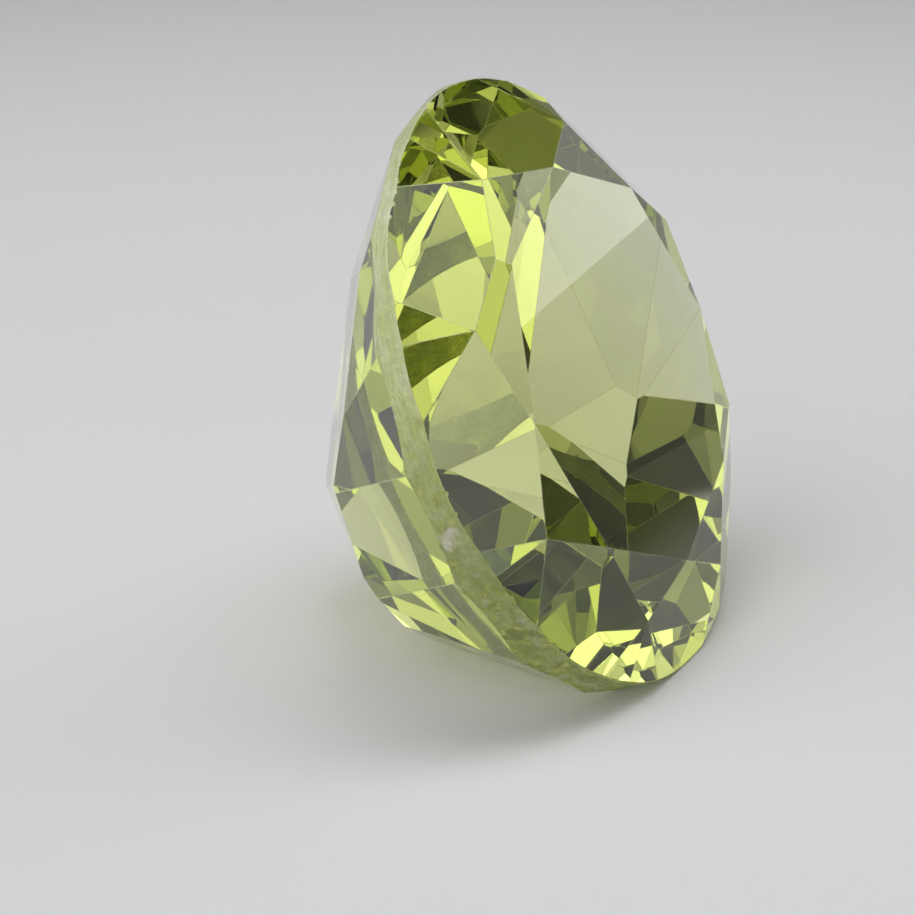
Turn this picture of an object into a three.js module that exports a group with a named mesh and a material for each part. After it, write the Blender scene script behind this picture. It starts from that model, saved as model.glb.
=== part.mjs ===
// A round brilliant-cut peridot, cut a little unevenly by hand, standing on a steep facet
// beside its girdle with the crown leaning up.
// Millimetres, +Z up. The origin is on the surface the stone rests on, under the middle of
// its bounding box.
//
// The stone is one convex solid: the space left under its flat facets. Every facet is first
// set out in the stone's own frame, where Z runs from the culet to the table, Z = 0 is the
// lower edge of the girdle, and a turn is measured about Z from the X axis.
import * as THREE from 'three';
import { ConvexGeometry } from 'three/addons/geometries/ConvexGeometry.js';
import * as BufferGeometryUtils from 'three/addons/utils/BufferGeometryUtils.js';

// Outline and girdle
const girdleRadius = 4.0;
const girdleSides = 64;
const girdleThickness = 0.42;
// the crown is cut slightly tilted, so the girdle is thicker on one side than on the other
const girdleTaper = 0.25;

// Crown
const tableHeight = 1.2;
const tableRadius = 2.66;
const starTipRadius = 3.28;
const symmetry = 8;
const indexTurn = -80.2;
// half of the arc along which a kite facet meets the girdle
const kiteHalfArc = 11;
// this kite was cut too deep, so it stops short of the table corner
const deepKite = { index: 1, shortfall: 0.2 };

// Pavilion: slopes are measured from the girdle plane
const culet = new THREE.Vector3(-0.26, 0.41, -3.55);
const mainSlope = { mean: 29.0, alongX: 5.2, alongY: -5.1 };
const lowerGirdleSlope = { mean: 54.6, alongX: -6.0, alongY: 9.2 };
// how far each facet strays from this plan, cut by hand: turn and slope in degrees, and out is how
// far it lies outside the culet
const mainTrims = [
  { turn: -0.3, slope: 0.3, out: 0.05 },
  { turn: 0.9, slope: 1.2, out: -0.04 },
  { turn: 0.3, slope: -0.9, out: 0.03 },
  { turn: 0.2, slope: 0.2, out: -0.01 },
  { turn: -1.4, slope: 2.1, out: -0.02 },
  { turn: 0.8, slope: -1.7, out: 0.05 },
  { turn: 0.0, slope: -1.4, out: 0.03 },
  { turn: 0.6, slope: 1.4, out: -0.04 },
];
const lowerGirdleTrims = [
  { turn: -0.3, slope: 2.4 },
  { turn: -0.4, slope: -1.1 },
  { turn: 1.4, slope: 0.0 },
  { turn: 0.2, slope: -0.2 },
  { turn: -0.4, slope: -2.2 },
  { turn: -0.8, slope: 0.3 },
  { turn: 0.5, slope: 1.4 },
  { turn: -0.4, slope: 1.3 },
  { turn: 0.3, slope: 0.2 },
  { turn: 1.8, slope: -3.1 },
  { turn: -2.2, slope: -1.6 },
  { turn: 0.1, slope: 2.9 },
  { turn: 0.6, slope: 0.2 },
  { turn: -0.2, slope: -4.8 },
  { turn: -0.4, slope: 2.3 },
  { turn: -0.6, slope: 1.5 },
];

// The wide facet that the stone stands on, and its turn about the vertical as it stands
const restFacet = { turn: 103.9, slope: 67.5, distance: 3.46 };
const facing = -126.2;

// points closer together than this are one corner
const cornerGap = 0.002;

const degrees = Math.PI / 180;
const up = new THREE.Vector3(0, 0, 1);
const down = new THREE.Vector3(0, 0, -1);
const insidePoint = new THREE.Vector3(0, 0, girdleThickness / 2);

function pointAt(radius, turn, height) {
  return new THREE.Vector3(radius * Math.cos(turn), radius * Math.sin(turn), height);
}

function rimHeight(turn) {
  return girdleThickness + girdleTaper * Math.sin(turn);
}

// outward direction of a facet that slopes down from the table, or up from the culet
function slopeDirection(turn, slope, vertical) {
  const side = Math.sin(slope);
  return new THREE.Vector3(side * Math.cos(turn), side * Math.sin(turn), vertical * Math.cos(slope));
}

function facetAtPoint(direction, point) {
  return new THREE.Plane().setFromNormalAndCoplanarPoint(direction, point);
}

function facetThrough(first, second, third) {
  const plane = new THREE.Plane().setFromCoplanarPoints(first, second, third);
  return plane.distanceToPoint(insidePoint) > 0 ? plane.negate() : plane;
}

// the point that three planes share, or null where two of them are nearly parallel
function meetingPoint(first, second, third) {
  const matrix = new THREE.Matrix3().set(
    ...first.normal.toArray(),
    ...second.normal.toArray(),
    ...third.normal.toArray(),
  );
  if (Math.abs(matrix.determinant()) < 1e-7) {
    return null;
  }
  const offsets = new THREE.Vector3(-first.constant, -second.constant, -third.constant);
  return offsets.applyMatrix3(matrix.invert());
}

// table, kites, stars and the pairs of upper-girdle facets between the kites
function crownFacets() {
  const step = (2 * Math.PI) / symmetry;
  const halfArc = kiteHalfArc * degrees;
  const turns = Array.from({ length: symmetry }, (_, index) => indexTurn * degrees + index * step);
  const tableCorners = turns.map((turn) => pointAt(tableRadius, turn, tableHeight));
  const kites = turns.map((turn, index) => {
    const top = tableRadius + (index === deepKite.index ? deepKite.shortfall : 0);
    const drop = tableHeight - rimHeight(turn);
    const slope = Math.atan2(drop, girdleRadius * Math.cos(halfArc) - top);
    return facetAtPoint(slopeDirection(turn, slope, 1), pointAt(top, turn, tableHeight));
  });
  const facets = [facetAtPoint(up, pointAt(0, 0, tableHeight)), ...kites];
  turns.forEach((turn, index) => {
    const next = (index + 1) % symmetry;
    const middle = turn + step / 2;
    const reach = facetAtPoint(pointAt(1, middle, 0), pointAt(starTipRadius, middle, 0));
    const starTip = meetingPoint(kites[index], kites[next], reach);
    facets.push(facetThrough(tableCorners[index], tableCorners[next], starTip));
    const rim = [turn + halfArc, middle, turn + step - halfArc].map((rimTurn) =>
      pointAt(girdleRadius, rimTurn, rimHeight(rimTurn)),
    );
    facets.push(facetThrough(starTip, rim[0], rim[1]));
    facets.push(facetThrough(starTip, rim[1], rim[2]));
  });
  return facets;
}

function girdleFacets() {
  return Array.from({ length: girdleSides }, (_, index) => {
    const turn = (2 * Math.PI * (index + 0.5)) / girdleSides;
    return facetAtPoint(pointAt(1, turn, 0), pointAt(girdleRadius, turn, 0));
  });
}

function slopeAt(turn, slope) {
  return (slope.mean + slope.alongX * Math.cos(turn) + slope.alongY * Math.sin(turn)) * degrees;
}

// the outward direction of a pavilion facet, with its stray from the plan
function pavilionDirection(turn, slope, trim) {
  return slopeDirection(turn + trim.turn * degrees, slope + trim.slope * degrees, -1);
}

// mains that pass close by the culet, and steeper lower-girdle facets that give the stone its belly
function pavilionFacets() {
  const step = (2 * Math.PI) / symmetry;
  const mains = mainTrims.map((trim, index) => {
    const turn = indexTurn * degrees + index * step;
    const direction = pavilionDirection(turn, slopeAt(turn, mainSlope), trim);
    return facetAtPoint(direction, culet.clone().addScaledVector(direction, trim.out));
  });
  const lowerGirdle = lowerGirdleTrims.map((trim, index) => {
    const turn = indexTurn * degrees + ((index + 0.5) * step) / 2;
    const direction = pavilionDirection(turn, slopeAt(turn, lowerGirdleSlope), trim);
    return facetAtPoint(direction, pointAt(girdleRadius * Math.cos(step / 4), turn, 0));
  });
  return [...mains, ...lowerGirdle];
}

function restPlane() {
  const direction = slopeDirection(restFacet.turn * degrees, restFacet.slope * degrees, -1);
  return new THREE.Plane(direction, -restFacet.distance);
}

// every corner of the convex solid: a point that three facets share and that none cuts off
function corners(facets) {
  const found = [];
  for (let first = 0; first < facets.length; first += 1) {
    for (let second = first + 1; second < facets.length; second += 1) {
      for (let third = second + 1; third < facets.length; third += 1) {
        const point = meetingPoint(facets[first], facets[second], facets[third]);
        const kept = point && facets.every((facet) => facet.distanceToPoint(point) < 1e-6);
        if (kept && !found.some((other) => other.distanceTo(point) < cornerGap)) {
          found.push(point);
        }
      }
    }
  }
  return found;
}

function buildStone() {
  const rest = restPlane();
  const facets = [...crownFacets(), ...girdleFacets(), ...pavilionFacets(), rest];
  const geometry = new ConvexGeometry(corners(facets));
  geometry.deleteAttribute('normal');
  const stone = BufferGeometryUtils.mergeVertices(geometry, cornerGap / 2);
  stone.applyQuaternion(new THREE.Quaternion().setFromUnitVectors(rest.normal, down));
  stone.rotateZ(facing * degrees);
  stone.computeBoundingBox();
  const box = stone.boundingBox;
  stone.translate(-(box.min.x + box.max.x) / 2, -(box.min.y + box.max.y) / 2, -box.min.z);
  return stone;
}

const peridot = new THREE.Mesh(
  buildStone(),
  new THREE.MeshStandardMaterial({
    color: 0xb7c36a,
    roughness: 0.05,
    metalness: 0,
    transparent: true,
    opacity: 0.8,
    flatShading: true,
  }),
);
peridot.name = 'peridot';

const part = new THREE.Group();
part.add(peridot);

export default part;
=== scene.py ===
"""The visual model of a round brilliant-cut peridot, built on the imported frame.

Lengths are millimetres in the stone's own frame, where Z runs from the culet to the table,
Z = 0 is the lower edge of the girdle and a turn is measured about Z. build_stone() carries the
points into the row frame at its end, and place() makes them metres.
"""

import itertools
import math

import bpy
import numpy as np
from mathutils import Euler, Matrix, Vector


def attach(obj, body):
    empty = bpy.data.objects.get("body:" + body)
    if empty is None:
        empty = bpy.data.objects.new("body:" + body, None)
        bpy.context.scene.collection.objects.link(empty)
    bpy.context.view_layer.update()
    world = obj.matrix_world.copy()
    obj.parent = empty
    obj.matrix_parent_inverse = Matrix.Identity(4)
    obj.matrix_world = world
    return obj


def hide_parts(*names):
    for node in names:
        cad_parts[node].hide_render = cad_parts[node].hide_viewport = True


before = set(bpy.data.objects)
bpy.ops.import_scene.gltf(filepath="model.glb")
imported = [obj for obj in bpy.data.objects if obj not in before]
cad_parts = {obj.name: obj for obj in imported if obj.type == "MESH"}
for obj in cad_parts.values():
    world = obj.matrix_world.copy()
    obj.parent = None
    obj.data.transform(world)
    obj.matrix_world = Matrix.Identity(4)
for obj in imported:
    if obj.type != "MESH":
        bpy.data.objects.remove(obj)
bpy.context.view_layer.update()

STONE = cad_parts["peridot"]
MM_PER_METRE = 1000
METRES_PER_MM = 0.001

# The stone, as it was cut
GIRDLE_RADIUS = 4.0
TABLE_HEIGHT = 1.2
# the direction in the row frame that turns are measured from
ZERO_TURN = np.array([-0.4528, -0.8636, 0.2217])
# the crown's side of the girdle and the pavilion's
SIDES = (1, -1)

# Reading the facets from the node: the area in mm2 of the smallest triangle that starts a facet,
# and how closely the normals (as a cosine) and the planes (in mm) of one facet's triangles agree
SMALLEST_TRIANGLE = 0.004
SAME_NORMAL = 0.9995
SAME_PLANE = 0.006
# a facet whose normal rises or falls less than this is one of the girdle's flats, and the flats
# larger than this area in mm2 place the stone's axis
LEVEL = 0.02
GIRDLE_FLAT = 0.05

# Where facets meet: the determinant under which three planes share no sharp point, and how far
# outside a plane, in mm, a point on it may come out
SMALLEST_DETERMINANT = 1e-5
ON_PLANE = 1e-8
ON_POLYGON = 3e-7
ON_EDGE = 2e-3
SHORTEST_EDGE = 0.02
SEARCH_STEPS = 40000

# The edges, slightly rubbed: width of the flat along an edge between facets
EDGE_WIDTH = 0.011
WORN_WIDTH = 0.024
# turn and radius of the middle of a worn crown edge, and how far the wear reaches from it
WORN_SPOTS = np.array([[-47.0, 3.02, 0.14], [-24.0, 3.02, 0.14], [-57.7, 2.46, 0.12]])
RIM_ROUNDING = 0.014
RIM_RADIUS = GIRDLE_RADIUS - RIM_ROUNDING

# The frosted band: points round it and rows of faces up it
RIM_STEPS = 1080
BAND_ROWS = 26
# grain and scuffs fade out within this distance of its edges
QUIET_EDGE = 0.04
# a facet bounds the band where its normal points outwards by more than this
FACING_OUT = 0.05
# farther out than any point of the stone
FAR_OUT = 9.0

# Chips along the girdle: turn, half width in degrees, depth in mm, and the edge, 1 for the crown's
CHIPS = np.array(
    [
        [-41.0, 0.7, 0.035, 1],
        [-43.5, 0.5, 0.02, 1],
        [-46.0, 0.4, 0.018, 1],
        [-38.2, 0.5, 0.022, 1],
        [-33.0, 0.3, 0.015, 1],
        [14.5, 0.8, 0.03, 1],
        [18.5, 0.6, 0.028, 1],
        [38.0, 1.2, 0.03, 1],
        [47.0, 0.9, 0.035, 1],
        [52.5, 1.3, 0.03, 1],
        [24.0, 1.1, 0.04, -1],
        [8.0, 0.6, 0.02, -1],
        [-64.0, 0.8, 0.02, -1],
        [120.0, 0.9, 0.03, 1],
        [163.0, 0.7, 0.03, -1],
        [-142.0, 0.9, 0.025, 1],
    ]
)
# chips and nibbles run out within this turn, in radians, of a joint between two facets
JOINT_REACH = 0.01
JOINT_MARGIN = 1e-6

# Scuffs on the frosted band: turn, share of its height from the pavilion edge, size in mm, depth
SCUFFS = np.array(
    [
        [21.5, 0.55, 0.09, 0.012],
        [24.0, 0.3, 0.07, 0.014],
        [31.0, 0.6, 0.05, 0.008],
        [37.0, 0.35, 0.05, 0.006],
        [43.0, 0.8, 0.08, 0.005],
        [51.0, 0.7, 0.06, 0.004],
        [-101.0, 0.5, 0.07, 0.010],
        [150.0, 0.4, 0.08, 0.010],
    ]
)
# the depth in mm at which a scuff is whitened through
FULL_SCUFF = 0.008

# Fine unevenness: how strong it is, then its seed, number of waves and most turns of a wave round
# the stone. The seed of a nibbled edge has its side added.
SCUFF_RAGGED, SCUFF_WAVES = 0.5, (11, 30, 700)
GRAIN_DEPTH, GRAIN_WAVES = 0.003, (3, 60, 500)
NIBBLE_DEPTH, NIBBLE_SEED, NIBBLE_WAVES = 0.004, 5, (40, 400)
# the fewest turns of a wave, and the most turns over the spread of its counts along the height
FEWEST_TURNS = 3
HEIGHT_SPREAD = 5.0

# How frosted a face is: the rubbed edges and the girdle
EDGE_FROST = 0.35
BAND_FROST = 1.0
# the turn at which the painted light on the band is palest, and how steeply it turns to painted
# olive
PAINTED_LIT_TURN = -88.0
TONE_STEEPNESS = 3.2

# The crystal's inside: what is absorbed in each metre is the density times one less the colour
REFRACTION = 1.67
ABSORPTION_COLOUR = (0.733, 0.79, 0.03, 1)
ABSORPTION_DENSITY = 178.0

# Noises that the finish is made of: waves to the metre, detail and roughness
NOISES = {
    "broad": (1100, 4, 0.65),
    "middling": (2100, 4, 0.65),
    "small": (5200, 3, 0.65),
    "finest": (11000, 3, 0.7),
}
STREAKS = (1500, 4, 0.6)
GRIT = (9000, 3, 0.7)
DRAWN_GRIT = (5200, 2)
GRIT_STRENGTH = 0.8
GRIT_HEIGHT = 0.00003
# how much a drawn-out pattern is squeezed along the girdle's height
DRAWN_OUT = 0.16

# Colours of the frosted band. Its two sides are painted light: pale where the band catches the
# light and olive where light shines through from inside. The streaks and clouds within each side
# are the band's own grain.
PAINTED_LIT_DARK, PAINTED_LIT_PALE = (0.66, 0.72, 0.34, 1), (0.97, 0.98, 0.78, 1)
OLIVE_DARK, OLIVE_PALE = (0.27, 0.34, 0.01, 1), (0.66, 0.74, 0.08, 1)
SAGE = (0.68, 0.75, 0.40, 1)
# a painted glint, as of light shining through thin frosting
PAINTED_GLINT_YELLOW = (0.92, 0.90, 0.30, 1)
BRUISE = (0.84, 0.82, 0.72, 1)
DEEP_GREEN = (0.16, 0.20, 0.02, 1)
BRIGHT_SPECK = (0.95, 0.96, 0.86, 1)
SCUFF_WHITE = (0.96, 0.90, 0.86, 1)
UNTINTED = (1, 1, 1, 1)

# The floor, in metres: a hair under the stone, so that a film of air lies between them
FLOOR_HALF = 0.6
FLOOR_LEVEL = -0.00001
# the floor's colour is a painted pool of light: its tone in the pool and far from it, how far the
# pool reaches, how sharply it falls off, and its middle
FLOOR_PAINTED_LIT = (0.90, 0.90, 0.905, 1)
FLOOR_PAINTED_DARK = (0.08, 0.08, 0.08, 1)
FLOOR_REACH = 0.0425
FLOOR_FALL = 5.0
POOL_MIDDLE = (0, -0.008, 0)
FLOOR_ROUGHNESS = 0.9
FLOOR_SHEEN = 0.2

ROOM_TONE = (1.0, 1.0, 1.01, 1)
ROOM_EVEN = 1.65
ROOM_DARKEST = 0.04
# soft lights and dark cards round the stone: azimuth (0 is the camera's side, 90 is +X),
# elevation, sharpness and brightness
ROOM_LIGHTS = [
    (13, 48, 15.3, -4.22),
    (192, 28, 5.7, -5.25),
    (103, 8, 18.4, -2.48),
    (64, 38, 19.6, -3.30),
    (160, 52, 13.6, -1.77),
    (249, 14, 4.6, -1.37),
    (108, 84, 18.6, 2.28),
]

# The camera: its sensor in mm, its focal length and the picture's width in pixels, the scale of
# the picture at the stone, and how many degrees it looks down
SENSOR_WIDTH = 36.0
FOCAL_PIXELS = 6000.0
FRAME_PIXELS = 915.0
PIXELS_PER_MM = 78.4
CAMERA_LIFT = 22.0
# the nearest and farthest that it sees, in metres
NEAREST, FARTHEST = 0.001, 5.0
# where the stone's origin lies in the frame, from the left and the top
ORIGIN_PIXEL = (545.6, 385.4)

# light bounces many times between the facets before it leaves the stone
BOUNCES = 16
FACET_BOUNCES = 14


def facet_planes(node):
    """Outward unit normal, distance from the origin in mm and area of each flat facet: triangles
    whose normals and distances agree are one facet, and their area-weighted mean is its plane."""
    mesh = node.data
    corners = np.empty(len(mesh.vertices) * 3)
    mesh.vertices.foreach_get("co", corners)
    mesh.calc_loop_triangles()
    index = np.empty(len(mesh.loop_triangles) * 3, int)
    mesh.loop_triangles.foreach_get("vertices", index)
    triangles = corners.reshape(-1, 3)[index.reshape(-1, 3)] * MM_PER_METRE
    cross = np.cross(triangles[:, 1] - triangles[:, 0], triangles[:, 2] - triangles[:, 0])
    areas = np.linalg.norm(cross, axis=1) / 2
    normals = cross / (2 * areas[:, None])
    middles = triangles.mean(1)
    free = np.ones(len(areas), bool)
    found = []
    for big in np.argsort(-areas):
        if free[big] and areas[big] > SMALLEST_TRIANGLE:
            out = abs((middles - middles[big]) @ normals[big])
            same = free & (normals @ normals[big] > SAME_NORMAL) & (out < SAME_PLANE)
            free &= ~same
            normal = (normals[same] * areas[same, None]).sum(0)
            normal /= np.linalg.norm(normal)
            offset = (middles[same] @ normal * areas[same]).sum() / areas[same].sum()
            found.append([*normal, offset, areas[same].sum()])
    found = np.array(found)
    return found[:, :3], found[:, 3], found[:, 4]


def stone_frame(normals, distances, areas):
    """The stone's axes as columns, and its origin. Z is the normal of the table, which is the
    largest facet. The origin is the point TABLE_HEIGHT under the table and GIRDLE_RADIUS inside
    every flat of the girdle, by least squares."""
    table = areas.argmax()
    up = normals[table]
    across = ZERO_TURN - up * (ZERO_TURN @ up)
    across /= np.linalg.norm(across)
    axes = np.stack([across, np.cross(up, across), up], axis=1)
    girdle = (abs(normals @ up) < LEVEL) & (areas > GIRDLE_FLAT)
    rows = np.vstack([normals[girdle], up])
    rest = np.append(distances[girdle] - GIRDLE_RADIUS, distances[table] - TABLE_HEIGHT)
    origin = np.linalg.lstsq(rows, rest, rcond=None)[0]
    return axes, origin


def meeting_points(normals, distances):
    """Every point inside the rim that three facets share and that no facet cuts off, from all
    triples of plane equations solved at once."""
    triples = np.array(list(itertools.combinations(range(len(normals)), 3)))
    matrices = normals[triples]
    keep = abs(np.linalg.det(matrices)) > SMALLEST_DETERMINANT
    points = np.linalg.solve(matrices[keep], distances[triples[keep]][..., None])[..., 0]
    inside = (points @ normals.T <= distances + ON_PLANE).all(1)
    return points[inside & (np.hypot(points[:, 0], points[:, 1]) < RIM_RADIUS)]


def heights(x, y, normals, distances):
    """Height of each facet's plane over (x, y), one row a facet: (d - nx x - ny y) / nz."""
    flat = distances[:, None] - normals[:, :1] * x - normals[:, 1:2] * y
    return flat / normals[:, 2:]


def rim_points(turns, bite, normals, distances, side):
    """Points of the rim of the crown (side 1) or the pavilion (side -1): on the lowest crown facet
    or the highest pavilion facet at each turn, moved inwards on that facet by the bite."""
    chosen = normals[:, 2] * side > LEVEL
    normals, distances = normals[chosen], distances[chosen]
    cosines, sines = np.cos(turns), np.sin(turns)
    over = side * heights(RIM_RADIUS * cosines, RIM_RADIUS * sines, normals, distances)
    lowest = over.argmin(0)
    x, y = (RIM_RADIUS - bite) * cosines, (RIM_RADIUS - bite) * sines
    flat = distances[lowest] - normals[lowest, 0] * x - normals[lowest, 1] * y
    return np.stack([x, y, flat / normals[lowest, 2]], axis=1)


def rim_joints(normals, distances, side):
    """The turns at which the rim passes from one facet to the next, where the two facets' heights
    are equal. Over a very short arc the heights are straight lines."""
    fine = np.linspace(0, 2 * np.pi, SEARCH_STEPS, endpoint=False)
    chosen = normals[:, 2] * side > LEVEL
    x, y = RIM_RADIUS * np.cos(fine), RIM_RADIUS * np.sin(fine)
    over = side * heights(x, y, normals[chosen], distances[chosen])
    lowest = over.argmin(0)
    after = np.roll(lowest, -1)
    change = np.flatnonzero(lowest != after)
    following = (change + 1) % len(fine)
    gap = over[after[change], change] - over[lowest[change], change]
    next_gap = over[lowest[change], following] - over[after[change], following]
    return fine[change] + gap / (gap + next_gap) * fine[1]


def rubbed_edges(normals, distances):
    """The plane of a narrow flat along each edge between two facets. Its normal is the mean of
    theirs, and it lies half its width times the tangent of half their angle under the edge."""
    points = [meeting_points(normals, distances)]
    for side in SIDES:
        turns = rim_joints(normals, distances, side)
        points.append(rim_points(turns, 0, normals, distances, side))
    points = np.vstack(points)
    on_facet = abs(points @ normals.T - distances) < ON_EDGE
    shared = on_facet.T.astype(int) @ on_facet
    spots = np.radians(WORN_SPOTS[:, 0])
    spots = WORN_SPOTS[:, 1, None] * np.stack([np.cos(spots), np.sin(spots)], axis=1)
    flats = []
    for one, two in zip(*np.nonzero(np.triu(shared, 1) >= 2)):
        edge = points[on_facet[:, one] & on_facet[:, two]]
        if np.linalg.norm(np.ptp(edge, axis=0)) < SHORTEST_EDGE:
            continue
        middle = edge.mean(0)
        near_spot = np.linalg.norm(spots - middle[:2], axis=1) < WORN_SPOTS[:, 2]
        width = WORN_WIDTH if middle[2] > 0 and near_spot.any() else EDGE_WIDTH
        normal = normals[one] + normals[two]
        normal /= np.linalg.norm(normal)
        half_angle = math.acos(min(1.0, normals[one] @ normal))
        flats.append([*normal, normal @ middle - width / 2 * math.tan(half_angle)])
    flats = np.array(flats)
    return flats[:, :3], flats[:, 3]


def uneven(turn, height, seed, waves, top):
    """A wandering value near 0: a sum of sine waves with random whole numbers of turns up to top,
    random counts along the height and random phases, divided by the root of their number."""
    rng = np.random.default_rng(seed)
    value = 0 * turn
    for _ in range(waves):
        around, along = rng.integers(FEWEST_TURNS, top), rng.normal(0, top / HEIGHT_SPREAD)
        value = value + np.sin(around * turn + along * height + rng.uniform(0, 2 * np.pi))
    return value / math.sqrt(waves)


def degrees_from(turn, middle):
    """How many degrees a turn in radians lies past a middle in degrees, from -180 to 180."""
    return (np.degrees(turn) - middle + 180) % 360 - 180


def scuff_depth(turn, share, height):
    """How deep the band is scuffed: for each scuff, a ragged dish, depth times the square root of
    (1 - distance squared), the distance made uneven by a fine wave."""
    depth = np.zeros_like(height)
    for where, along, size, deep in SCUFFS:
        aside = np.radians(degrees_from(turn, where)) * GIRDLE_RADIUS / size
        lift = (share - along) * np.ptp(height, axis=0) / size
        away = aside**2 + lift**2 + SCUFF_RAGGED * uneven(turn, height, *SCUFF_WAVES)
        depth += deep * np.clip(1 - away, 0, None) ** 0.5 * (abs(aside) < 2)
    return depth


def facet_reach(turn, height, normals, distances):
    """How far out the nearest facet lets the band come at each turn and height:
    (d - nz height) / (nx cos turn + ny sin turn), over the facets that face outwards there."""
    reach = np.full(height.shape, FAR_OUT)
    for normal, distance in zip(normals, distances):
        out = normal[0] * np.cos(turn) + normal[1] * np.sin(turn)
        bound = (distance - normal[2] * height) / np.where(out > FACING_OUT, out, 1)
        reach = np.minimum(reach, np.where(out > FACING_OUT, bound, FAR_OUT))
    return reach


def rim_bite(turns, joints, side):
    """How far the rim is bitten inwards at each turn. A chip is a smooth hollow, depth times
    (1 - (turn / half width)^2)^2, and the edge between chips is finely nibbled. The bite runs out
    at the joints between facets."""
    bite = np.zeros_like(turns)
    for turn, half, deep, edge in CHIPS:
        if edge == side:
            away = degrees_from(turns, turn)
            bite += deep * np.clip(1 - (away / half) ** 2, 0, None) ** 2
    nibble = uneven(turns, 0.0, NIBBLE_SEED + side, *NIBBLE_WAVES)
    bite += NIBBLE_DEPTH * np.clip(nibble, 0, None)
    from_joint = abs((turns[:, None] - joints + np.pi) % (2 * np.pi) - np.pi).min(1)
    return bite * np.clip(from_joint / JOINT_REACH - JOINT_MARGIN, 0, 1)


def bite_hollow(bite, away):
    """How deep a bite hollows the band at a distance from its edge:
    bite * (1 - distance / (2 bite))^1.5."""
    return bite * np.clip(1 - away / (2.0 * bite + 1e-3), 0, 1) ** 1.5


def girdle_band(turns, top, low, top_bite, low_bite, normals, distances):
    """The points of the band between its edges, row by row, and how deep each is scuffed. Their
    radius is the girdle's, or less where a facet comes nearer, less a curve at each edge,
    rounding * (1 - distance / rounding)^2, the bites' hollows, the grain and the scuffs."""
    share = np.linspace(0, 1, BAND_ROWS + 1)[1:-1, None]
    turn = turns + 0 * share
    tall = top[:, 2] - low[:, 2]
    height = low[:, 2] + share * tall
    to_top, to_low = (1 - share) * tall, share * tall
    near = np.minimum(to_top, to_low)
    rounding = RIM_ROUNDING * np.clip(1 - near / RIM_ROUNDING, 0, 1) ** 2
    hollow = bite_hollow(top_bite, to_top) + bite_hollow(low_bite, to_low)
    scuffs = scuff_depth(turn, share, height)
    grain = abs(uneven(turn, height, *GRAIN_WAVES)) * GRAIN_DEPTH + scuffs
    radius = np.minimum(GIRDLE_RADIUS, facet_reach(turn, height, normals, distances))
    radius = radius - rounding - hollow - grain * np.clip(near / QUIET_EDGE, 0, 1)
    return np.stack([radius * np.cos(turn), radius * np.sin(turn), height], axis=2), scuffs


def facet_polygons(outline, numbers, normals, distances):
    """Each facet as a polygon: the numbers of the outline's points that lie on its plane, in order
    of their angle about its middle. A facet too small to have three points has an empty one."""
    polygons = []
    for normal, distance in zip(normals, distances):
        on = np.flatnonzero(abs(outline @ normal - distance) < ON_POLYGON)
        if len(on) < 3:
            polygons.append([])
            continue
        across = outline[on] - outline[on].mean(0)
        side = np.cross(normal, across[0])
        angle = np.arctan2(across @ side / np.linalg.norm(side), across @ across[0])
        polygons.append(numbers[on[np.argsort(angle)]].tolist())
    return polygons


def build_stone():
    """The stone's points in mm in the row frame, its faces, the frosting of each face, how far each
    point is scuffed, from 0 to 1, and the stone's axes and origin. Its facets are flat polygons,
    and its girdle is a profile carried round between its two edges."""
    normals, distances, areas = facet_planes(STONE)
    axes, origin = stone_frame(normals, distances, areas)
    distances = distances - normals @ origin
    normals = normals @ axes
    cut = abs(normals[:, 2]) > LEVEL
    normals, distances = normals[cut], distances[cut]
    cut_count = len(normals)
    rubbed = rubbed_edges(normals, distances)
    normals, distances = np.vstack([normals, rubbed[0]]), np.append(distances, rubbed[1])
    corners = meeting_points(normals, distances)

    joints = [rim_joints(normals, distances, side) for side in SIDES]
    turns = np.linspace(0, 2 * np.pi, RIM_STEPS, endpoint=False)
    turns = np.sort(np.concatenate([turns, *joints]) % (2 * np.pi))
    bites = [rim_bite(turns, where, side) for where, side in zip(joints, SIDES)]
    planes = normals, distances
    top, low = (rim_points(turns, bite, *planes, side) for bite, side in zip(bites, SIDES))
    whole = [rim_points(turns, 0, *planes, side) for side in SIDES]
    band, scuffs = girdle_band(turns, top, low, *bites, *planes)

    points = np.vstack([corners, low, band.reshape(-1, 3), top])
    rows = len(corners) + np.arange((BAND_ROWS + 1) * len(turns)).reshape(BAND_ROWS + 1, -1)
    scuffed = np.zeros(len(points))
    scuffed[rows[1:-1]] = np.clip(scuffs / FULL_SCUFF, 0, 1)
    outline = np.vstack([corners, *whole])
    numbers = np.concatenate([np.arange(len(corners)), rows[-1], rows[0]])
    polygons = facet_polygons(outline, numbers, *planes)
    frost = [0.0] * cut_count + [EDGE_FROST] * (len(normals) - cut_count)
    frost = [value for value, polygon in zip(frost, polygons) if polygon]
    after = np.roll(rows, -1, axis=1)
    quads = np.stack([rows[:-1], after[:-1], after[1:], rows[1:]], axis=2).reshape(-1, 4)
    faces = [polygon for polygon in polygons if polygon] + quads.tolist()
    frost = np.array(frost + [BAND_FROST] * len(quads))
    return points @ axes.T + origin, faces, frost, scuffed, axes, origin


def place(name, points, faces):
    """A mesh object at the origin whose points, in mm in the row frame, become metres."""
    mesh = bpy.data.meshes.new(name)
    mesh.from_pydata((points * METRES_PER_MM).tolist(), [], faces)
    mesh.update()
    made = bpy.data.objects.new(name, mesh)
    bpy.context.scene.collection.objects.link(made)
    return made


def painted_lit_sides(points):
    """Painted light on the girdle: 1 where it is painted pale, as where it catches the light, and 0
    where it is painted olive, as where light shines through from inside. A smooth wave round the
    stone: 1 / (1 + exp(-steepness * cosine of the turn from the palest turn))."""
    local = (points - origin) @ axes
    painted_lit = np.cos(np.arctan2(local[:, 1], local[:, 0]) - math.radians(PAINTED_LIT_TURN))
    return 1 / (1 + np.exp(-TONE_STEEPNESS * painted_lit))


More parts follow.
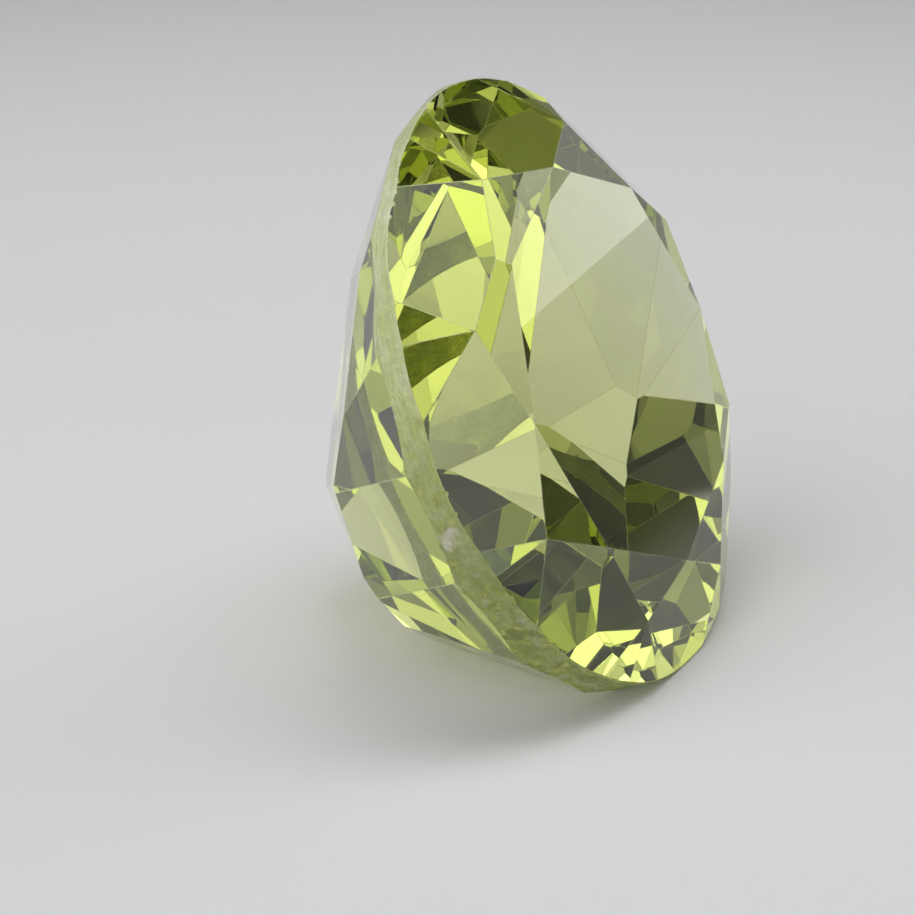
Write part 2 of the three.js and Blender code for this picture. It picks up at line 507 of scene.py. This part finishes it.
def add_attribute(mesh, name, domain, values):
    """One number for each face or point of a mesh, for its material to read."""
    attribute = mesh.attributes.new(name, "FLOAT", domain)
    attribute.data.foreach_set("value", values.astype(np.float32))


def principled(name):
    """A node material, its node tree and its Principled shader."""
    material = bpy.data.materials.new(name)
    material.use_nodes = True
    return material, material.node_tree, material.node_tree.nodes["Principled BSDF"]


def add_node(tree, kind, inputs=None, **settings):
    """A node with its settings, whose inputs take a value or another node's output."""
    made = tree.nodes.new(kind)
    for key, value in settings.items():
        setattr(made, key, value)
    for key, value in (inputs or {}).items():
        if isinstance(value, bpy.types.NodeSocket):
            tree.links.new(value, made.inputs[key])
        else:
            made.inputs[key].default_value = value
    return made


def noise(tree, place, scale, detail, roughness=0.5):
    """Noise over the piece's own coordinates."""
    values = {"Vector": place, "Scale": scale, "Detail": detail, "Roughness": roughness}
    return add_node(tree, "ShaderNodeTexNoise", values).outputs["Fac"]


def between(tree, value, low, high, to_low, to_high):
    """A value carried from one range to another and held at its ends."""
    values = {"Value": value, "From Min": low, "From Max": high}
    values |= {"To Min": to_low, "To Max": to_high}
    return add_node(tree, "ShaderNodeMapRange", values).outputs["Result"]


def maths(tree, operation, first, second):
    """Two values put together by one operation."""
    return add_node(tree, "ShaderNodeMath", {0: first, 1: second}, operation=operation).outputs[0]


def exponent(tree, value):
    """e to the power of a value."""
    return add_node(tree, "ShaderNodeMath", {0: value}, operation="EXPONENT").outputs[0]


def mixed(tree, factor, first, second):
    """Two colours mixed by a value."""
    values = {0: factor, 6: first, 7: second}
    return add_node(tree, "ShaderNodeMix", values, data_type="RGBA").outputs[2]


def blended(tree, factor, first, second):
    """Two numbers mixed by a value."""
    values = {0: factor, 2: first, 3: second}
    return add_node(tree, "ShaderNodeMix", values, data_type="FLOAT").outputs[0]


def marked(tree, name):
    """What an attribute of the mesh says at each place."""
    return add_node(tree, "ShaderNodeAttribute", attribute_name=name).outputs["Fac"]


def stone_place(tree):
    """A point of the piece, and the same point in the stone's own axes, scaled so that a pattern is
    drawn out along the girdle: its height counts for more than its run round the band."""
    place = add_node(tree, "ShaderNodeTexCoord").outputs["Object"]
    values = {
        "Vector": place,
        "Location": origin * METRES_PER_MM,
        "Rotation": Matrix(axes.tolist()).to_euler(),
        "Scale": (1, 1, DRAWN_OUT),
    }
    return place, add_node(tree, "ShaderNodeMapping", values, vector_type="TEXTURE").outputs[0]


def girdle_tint(tree, noises, painted_lit_side):
    """The frosted band: sage green drawn out in streaks and clouded, with painted light on its two
    sides: pale where it catches the light and olive where light shines through from inside. Over
    this lie sage mottling, painted yellow glints on the olive side, bruised and scuffed whitish
    patches and bright specks."""
    streaks = between(tree, noises["streaks"], 0.35, 0.68, 0.0, 1.0)
    clouds = between(tree, noises["middling"], 0.36, 0.64, 0.0, 1.0)
    painted_lit = mixed(tree, streaks, PAINTED_LIT_DARK, PAINTED_LIT_PALE)
    olive = mixed(tree, clouds, OLIVE_DARK, OLIVE_PALE)
    # painted light: pale on the side of the band that catches the light, olive where light shines
    # through
    green = mixed(tree, painted_lit_side, olive, painted_lit)
    sage = between(tree, noises["small"], 0.46, 0.62, 0.0, 0.6)
    green = mixed(tree, sage, green, SAGE)
    # painted yellow glints on the olive side, as of light shining through thin frosting
    painted_glint_strength = between(tree, painted_lit_side, 0.1, 0.45, 0.8, 0.0)
    painted_glint_mask = between(tree, noises["small"], 0.34, 0.42, painted_glint_strength, 0.0)
    green = mixed(tree, painted_glint_mask, green, PAINTED_GLINT_YELLOW)
    bruised = between(tree, noises["broad"], 0.62, 0.69, 0.0, 0.75)
    green = mixed(tree, bruised, green, BRUISE)
    mottling = between(tree, painted_lit_side, 0.2, 0.9, 0.42, 0.12)
    fine = between(tree, noises["finest"], 0.35, 0.65, 0.0, mottling)
    green = mixed(tree, fine, green, DEEP_GREEN)
    specks = between(tree, noises["finest"], 0.70, 0.74, 0.0, 0.8)
    green = mixed(tree, specks, green, BRIGHT_SPECK)
    ragged = between(tree, noises["small"], 0.38, 0.56, 0.15, 0.95)
    whitened = maths(tree, "MULTIPLY", marked(tree, "scuffed"), ragged)
    return mixed(tree, whitened, green, SCUFF_WHITE)


def peridot_finish():
    """Clear olive-green crystal: sharp refraction and an even absorption through its depth. The
    facets are polished, with patches of faint haze and a few pits. The rubbed edges and the girdle
    are frosted, granular and worn clear again in spots."""
    material, tree, shader = principled("peridot_crystal")
    place, drawn_out = stone_place(tree)
    noises = {name: noise(tree, place, *values) for name, values in NOISES.items()}
    noises["streaks"] = noise(tree, drawn_out, *STREAKS)
    frost, painted_lit_side = marked(tree, "frost"), marked(tree, "painted_lit_side")

    haze = between(tree, noises["broad"], 0.5, 0.75, 0.0, 0.02)
    pits = between(tree, noises["finest"], 0.75, 0.79, 0.0, 0.2)
    polished = maths(tree, "ADD", haze, pits)
    smoothest = between(tree, painted_lit_side, 0.1, 0.5, 0.14, 0.4)
    frosted = between(tree, noises["middling"], 0.35, 0.65, 0.58, smoothest)
    tree.links.new(blended(tree, frost, polished, frosted), shader.inputs["Roughness"])

    tint = girdle_tint(tree, noises, painted_lit_side)
    tree.links.new(mixed(tree, frost, UNTINTED, tint), shader.inputs["Base Color"])
    clearest = between(tree, painted_lit_side, 0.2, 0.9, 0.4, 0.1)
    worn_clear = between(tree, noises["middling"], 0.52, 0.66, 0.0, clearest)
    through = maths(tree, "ADD", between(tree, painted_lit_side, 0.1, 0.9, 0.58, 0.12), worn_clear)
    tree.links.new(blended(tree, frost, 1.0, through), shader.inputs["Transmission Weight"])
    shader.inputs["IOR"].default_value = REFRACTION

    grit = maths(tree, "ADD", noise(tree, place, *GRIT), noise(tree, drawn_out, *DRAWN_GRIT))
    relief = maths(tree, "MULTIPLY", grit, frost)
    values = {"Height": relief, "Strength": GRIT_STRENGTH, "Distance": GRIT_HEIGHT}
    bump = add_node(tree, "ShaderNodeBump", values)
    tree.links.new(bump.outputs[0], shader.inputs["Normal"])

    depth = add_node(tree, "ShaderNodeVolumeAbsorption")
    depth.inputs["Color"].default_value = ABSORPTION_COLOUR
    depth.inputs["Density"].default_value = ABSORPTION_DENSITY
    tree.links.new(depth.outputs["Volume"], tree.nodes["Material Output"].inputs["Volume"])
    return material


def floor():
    """A pale floor, one flat sheet, with a painted pool of light: far from the stone its colour
    grows darker, as beyond the pool of a soft lamp: far tone + (near tone - far tone) *
    exp(-(distance / FLOOR_REACH)^FLOOR_FALL), with the distance taken from POOL_MIDDLE, in front of
    the stone."""
    square = ((-1, -1), (1, -1), (1, 1), (-1, 1))
    corners = [(x * FLOOR_HALF, y * FLOOR_HALF, FLOOR_LEVEL) for x, y in square]
    mesh = bpy.data.meshes.new("floor")
    mesh.from_pydata(corners, [], [(0, 1, 2, 3)])
    made = bpy.data.objects.new("floor", mesh)
    bpy.context.scene.collection.objects.link(made)
    material, tree, shader = principled("floor_with_painted_pool")
    # the painted pool of light, darkening the floor's colour away from its middle
    place = add_node(tree, "ShaderNodeTexCoord").outputs["Object"]
    apart = {0: place, 1: POOL_MIDDLE}
    away = add_node(tree, "ShaderNodeVectorMath", apart, operation="DISTANCE").outputs["Value"]
    power = maths(tree, "POWER", maths(tree, "DIVIDE", away, FLOOR_REACH), FLOOR_FALL)
    pool = exponent(tree, maths(tree, "MULTIPLY", power, -1.0))
    tree.links.new(mixed(tree, pool, FLOOR_PAINTED_DARK, FLOOR_PAINTED_LIT), shader.inputs["Base Color"])
    shader.inputs["Roughness"].default_value = FLOOR_ROUGHNESS
    shader.inputs["Specular IOR Level"].default_value = FLOOR_SHEEN
    mesh.materials.append(material)


def soft_room():
    """The room's light by direction: an even part and, for each soft light or dark card, its
    brightness times exp(sharpness * (cosine of the angle from its middle - 1))."""
    world = bpy.data.worlds.new("soft_room")
    world.use_nodes = True
    tree = world.node_tree
    way = add_node(tree, "ShaderNodeTexCoord").outputs["Generated"]
    total = ROOM_EVEN
    for azimuth, elevation, sharpness, brightness in ROOM_LIGHTS:
        turn, lift = math.radians(azimuth), math.radians(elevation)
        middle = (math.sin(turn) * math.cos(lift), -math.cos(turn) * math.cos(lift), math.sin(lift))
        near = add_node(tree, "ShaderNodeVectorMath", {0: way, 1: middle}, operation="DOT_PRODUCT")
        less = maths(tree, "SUBTRACT", near.outputs["Value"], 1.0)
        glow = exponent(tree, maths(tree, "MULTIPLY", less, sharpness))
        total = maths(tree, "ADD", maths(tree, "MULTIPLY", glow, brightness), total)
    background = tree.nodes["Background"]
    background.inputs["Color"].default_value = ROOM_TONE
    tree.links.new(maths(tree, "MAXIMUM", total, ROOM_DARKEST), background.inputs["Strength"])
    bpy.context.scene.world = world


def add_camera():
    """A long lens on the line of sight that the stone is seen along, turned aside and down so that
    the stone's origin falls on ORIGIN_PIXEL."""
    lens = bpy.data.cameras.new("camera")
    lens.sensor_width = SENSOR_WIDTH
    lens.lens = SENSOR_WIDTH * FOCAL_PIXELS / FRAME_PIXELS
    lens.clip_start, lens.clip_end = NEAREST, FARTHEST
    made = bpy.data.objects.new("camera", lens)
    lift = math.radians(CAMERA_LIFT)
    away = FOCAL_PIXELS / PIXELS_PER_MM * METRES_PER_MM
    sight = Vector((0, -math.cos(lift), math.sin(lift)))
    made.location = Vector(origin * METRES_PER_MM) + sight * away
    aside = math.atan((ORIGIN_PIXEL[0] - FRAME_PIXELS / 2) / FOCAL_PIXELS)
    below = math.atan((FRAME_PIXELS / 2 - ORIGIN_PIXEL[1]) / FOCAL_PIXELS)
    made.rotation_euler = Euler((math.radians(90) - lift - below, 0, aside))
    bpy.context.scene.collection.objects.link(made)
    bpy.context.scene.camera = made


points, faces, frost, scuffed, axes, origin = build_stone()
stone = place("peridot_stone", points, faces)
add_attribute(stone.data, "frost", "FACE", frost)
# painted light: 1 on the side of the band painted pale as if lit, 0 on the side painted olive
add_attribute(stone.data, "painted_lit_side", "POINT", painted_lit_sides(points))
add_attribute(stone.data, "scuffed", "POINT", scuffed)
stone.data.polygons.foreach_set("use_smooth", frost == BAND_FROST)
stone.data.materials.append(peridot_finish())
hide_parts("peridot")
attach(stone, "root")

floor()
soft_room()
add_camera()
scene = bpy.context.scene
scene.view_settings.view_transform = "Standard"
scene.cycles.max_bounces = BOUNCES
scene.cycles.glossy_bounces = FACET_BOUNCES
scene.cycles.transmission_bounces = FACET_BOUNCES
# the default pattern leaves a dotted grain on facets that half reflect
scene.cycles.sampling_pattern = "TABULATED_SOBOL"
